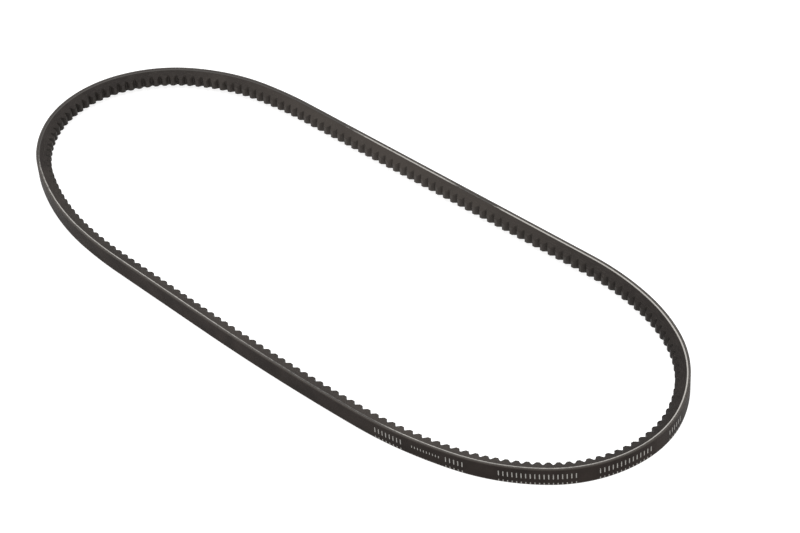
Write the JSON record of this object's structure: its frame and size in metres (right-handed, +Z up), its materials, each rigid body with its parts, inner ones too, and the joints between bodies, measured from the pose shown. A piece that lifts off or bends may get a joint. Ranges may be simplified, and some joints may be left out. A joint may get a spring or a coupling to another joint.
{
  "type": "cogged v belt",
  "caption": "Endless raw-edge cogged V-belt lying on its side as a free loop, with fabric back, exposed tensile cord on the cut flanks and rounded cogs inside.",
  "frame": {"origin": "under the middle of the loop's box, on the surface the belt lies on", "axes": "+X along the loop's long straight run, +Z up across the belt's width"},
  "size_m": [0.413, 0.1578, 0.01],
  "materials": {
    "back_fabric": "rubberised woven fabric, matt",
    "inner_fabric": "rubberised woven fabric, cut edge",
    "adhesion_rubber": "cut rubber, matt",
    "tensile_cord": "twisted polyester cord, cut fibres",
    "compression_rubber": "short-fibre filled rubber, ground flanks"
  },
  "bodies": {
    "root": {"back_fabric_outer": "back_fabric", "back_fabric_inner": "inner_fabric", "adhesion_rubber_outer": "adhesion_rubber", "cord_turn_1": "tensile_cord", "cord_turn_2": "tensile_cord", "cord_turn_3": "tensile_cord", "cord_turn_4": "tensile_cord", "cord_turn_5": "tensile_cord", "cord_turn_6": "tensile_cord", "cord_turn_7": "tensile_cord", "cord_turn_8": "tensile_cord", "adhesion_rubber_inner": "adhesion_rubber", "compression_rubber": "compression_rubber"}
  },
  "joints": []
}
